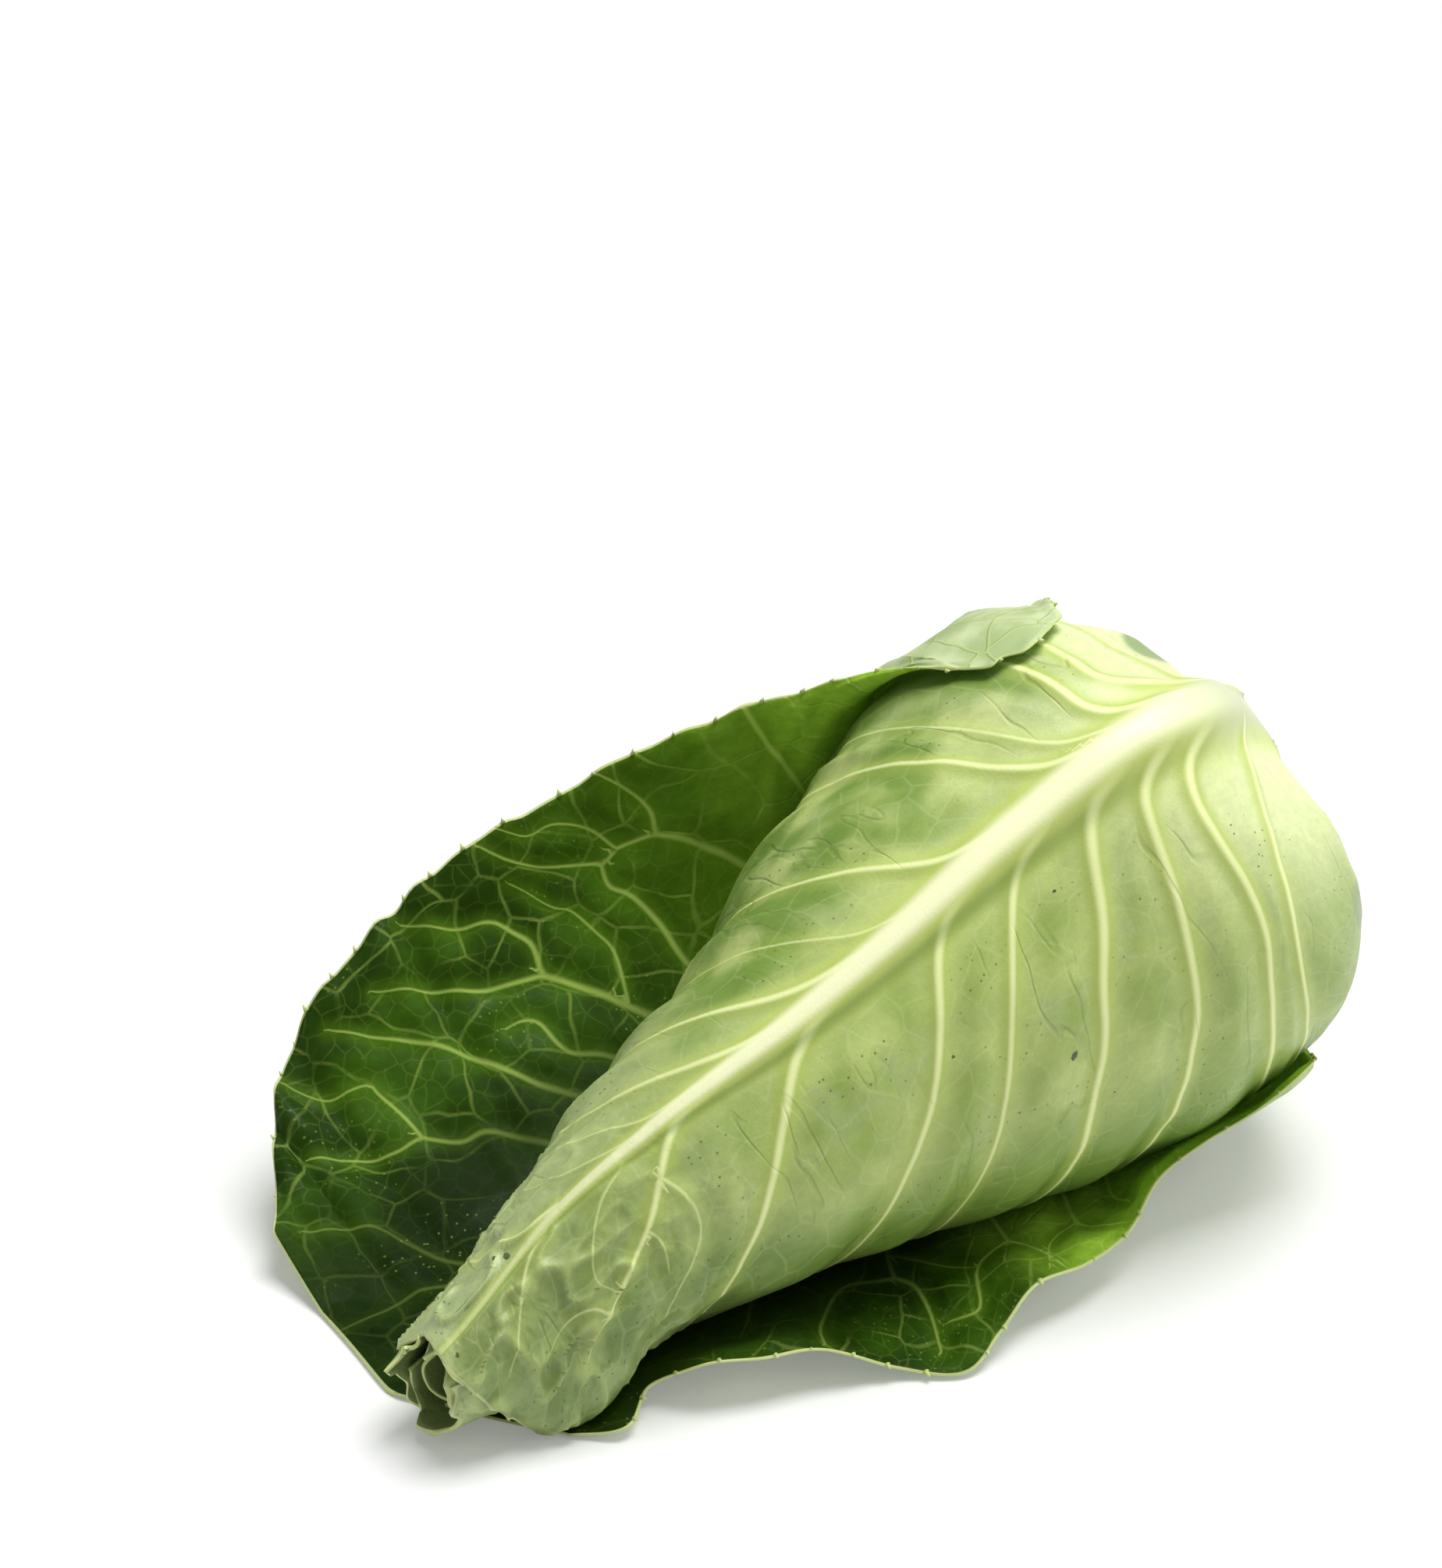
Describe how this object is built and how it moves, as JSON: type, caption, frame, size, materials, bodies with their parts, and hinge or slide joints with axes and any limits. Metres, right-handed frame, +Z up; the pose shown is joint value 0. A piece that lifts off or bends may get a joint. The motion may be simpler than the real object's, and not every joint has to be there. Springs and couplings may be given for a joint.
{
  "type": "pointed cabbage",
  "caption": "Pointed cabbage lying on its side: a cone-shaped head of tightly wrapped pale leaves, cradled in one loose dark green outer leaf, to be cooked or eaten.",
  "frame": {"origin": "on the surface it lies on, under the middle of the whole cabbage's bounding box", "axes": "+X from the tip towards the cut stem, +Z up, -Y the open side where the pale leaf with the white midrib shows"},
  "size_m": [0.253, 0.1638, 0.1296],
  "materials": {
    "wrapper_leaf": "waxy pale green leaf underside with near-white midrib and veins",
    "inner_leaf": "smooth pale yellow-green leaf",
    "outer_leaf": "dark green leaf face with a soft sheen, greyer underneath",
    "heart": "packed pale yellow-green leaves",
    "stem": "moist cream-white cut stem",
    "leaf_shred": "torn mid-green leaf"
  },
  "bodies": {
    "root": {"stem": "stem", "heart": "heart", "side_leaf": "inner_leaf", "under_leaf": "inner_leaf", "rear_leaf": "wrapper_leaf", "front_leaf": "wrapper_leaf", "outer_leaf": "outer_leaf", "scroll_leaf": "inner_leaf", "leaf_shred": "leaf_shred"}
  },
  "joints": []
}
